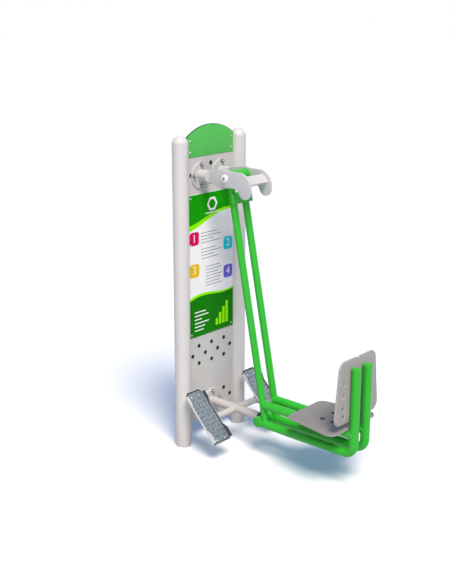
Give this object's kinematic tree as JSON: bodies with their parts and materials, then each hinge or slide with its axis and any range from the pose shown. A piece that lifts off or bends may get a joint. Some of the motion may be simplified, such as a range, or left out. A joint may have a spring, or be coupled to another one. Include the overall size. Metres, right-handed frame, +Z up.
{
  "type": "outdoor leg press",
  "caption": "Two-post outdoor leg press station: a seat on a hanging frame swings away as the user pushes on fixed, sloping foot plates.",
  "frame": {"origin": "on the ground, midway between the axes of the two posts", "axes": "+X from the posts out to the seat, +Y along the panel to the right post as seen from the seat's left side, +Z up"},
  "size_m": [1.354, 0.744, 2.2039],
  "materials": {
    "post_paint": "semi-gloss powder coat",
    "panel_paint": "satin powder coat",
    "black_lining": "matte",
    "green_sheet": "satin powder coat",
    "board_print": "printed sheet",
    "zinc": "zinc plated",
    "dark_steel": "oxidised",
    "cheek_paint": "semi-gloss powder coat",
    "brace_paint": "semi-gloss powder coat",
    "rubber": "matte",
    "cap_plastic": "matte",
    "galvanised": "galvanised",
    "tread_metal": "embossed",
    "green_paint": "semi-gloss powder coat",
    "board_plastic": "fine texture"
  },
  "bodies": {
    "stand": {"left_post": "post_paint", "right_post": "post_paint", "left_post_cap": "post_paint", "right_post_cap": "post_paint", "panel": "panel_paint", "panel_lining": "black_lining", "header_plate": "green_sheet", "info_board": "board_print", "panel_rivets": "zinc", "left_head_flange": "post_paint", "right_head_flange": "post_paint", "beam_flange": "post_paint", "left_clamp_plate": "post_paint", "right_clamp_plate": "post_paint", "low_clamp_plate": "post_paint", "flange_bolts": "zinc", "left_cheek": "cheek_paint", "right_cheek": "cheek_paint", "brace_plate": "brace_paint", "axle": "zinc", "axle_caps": "zinc", "axle_screws": "dark_steel", "thrust_washers": "zinc", "beam": "post_paint", "beam_plug": "post_paint", "bumper": "rubber", "foot_bar": "post_paint", "foot_bar_caps": "cap_plastic", "left_foot_carrier": "post_paint", "right_foot_carrier": "post_paint", "left_foot_plate": "galvanised", "right_foot_plate": "galvanised", "left_tread": "tread_metal", "right_tread": "tread_metal", "tread_rivets": "zinc"},
    "swing": {"hub": "green_paint", "left_bearing": "zinc", "right_bearing": "zinc", "left_arm": "green_paint", "right_arm": "green_paint", "front_bar": "green_paint", "left_high_rail": "green_paint", "right_high_rail": "green_paint", "left_low_rail": "green_paint", "right_low_rail": "green_paint", "left_upright_cap": "green_paint", "right_upright_cap": "green_paint", "cross_barrel": "green_paint", "barrel_caps": "green_paint", "seat_board": "board_plastic", "seat_screws": "cap_plastic", "back_board": "board_plastic", "back_screws": "cap_plastic"}
  },
  "joints": [
    {"name": "swing_pivot", "type": "hinge", "parent": "stand", "child": "swing", "pos_m": [0.23, 0, 1.876], "axis": [0, -1, 0], "range_deg": [0, 26]}
  ]
}
